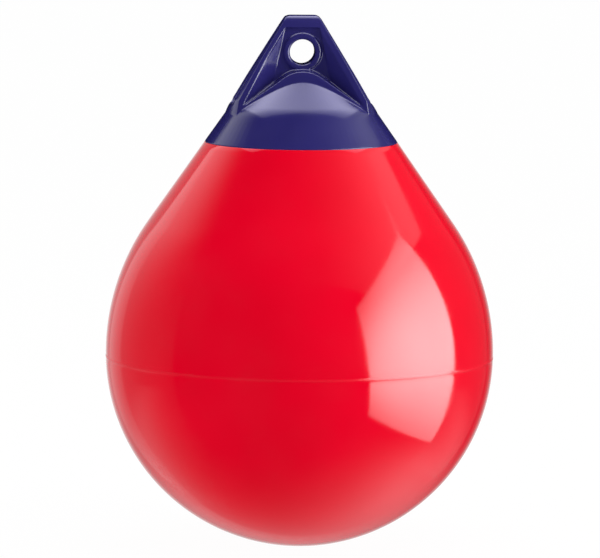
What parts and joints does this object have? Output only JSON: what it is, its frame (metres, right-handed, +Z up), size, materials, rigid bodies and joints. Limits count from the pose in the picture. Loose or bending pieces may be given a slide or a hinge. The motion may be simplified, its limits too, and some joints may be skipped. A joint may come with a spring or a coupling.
{
  "type": "inflatable mooring buoy",
  "caption": "Pear-shaped inflatable vinyl mooring buoy with a moulded rope hold, a through eye for rope or shackle and a screw plug air valve behind.",
  "frame": {"origin": "on the buoy's upright axis at its free-floating waterline", "axes": "+Z up along the buoy's axis to the rope hold, Y along the eye with the front at -Y, +X to the right"},
  "size_m": [0.4315, 0.4316, 0.59],
  "materials": {
    "body_vinyl": "smooth glossy moulded vinyl, red",
    "hold_vinyl": "semi-gloss moulded vinyl, dark blue",
    "valve_nylon": "moulded nylon, off-white",
    "seal_rubber": "moulded rubber, black"
  },
  "bodies": {
    "buoy": {"body_shell": "body_vinyl", "rope_hold": "hold_vinyl", "valve_seat": "valve_nylon"},
    "washer": {"valve_washer": "seal_rubber"},
    "plug": {"valve_plug": "valve_nylon"}
  },
  "joints": [
    {"name": "plug_rise", "type": "slide", "parent": "buoy", "child": "washer", "axis": [0, 0.8192, 0.5736], "range_m": [0, 0.018]},
    {"name": "plug_turn", "type": "hinge", "parent": "washer", "child": "plug", "pos_m": [0, 0.09101, 0.40516], "axis": [0, 0.8192, 0.5736], "range_deg": [0, 2160]}
  ],
  "couplings": [
    {"joint": "plug_turn", "follows": "plug_rise", "rad_per_m": 2094.4}
  ]
}
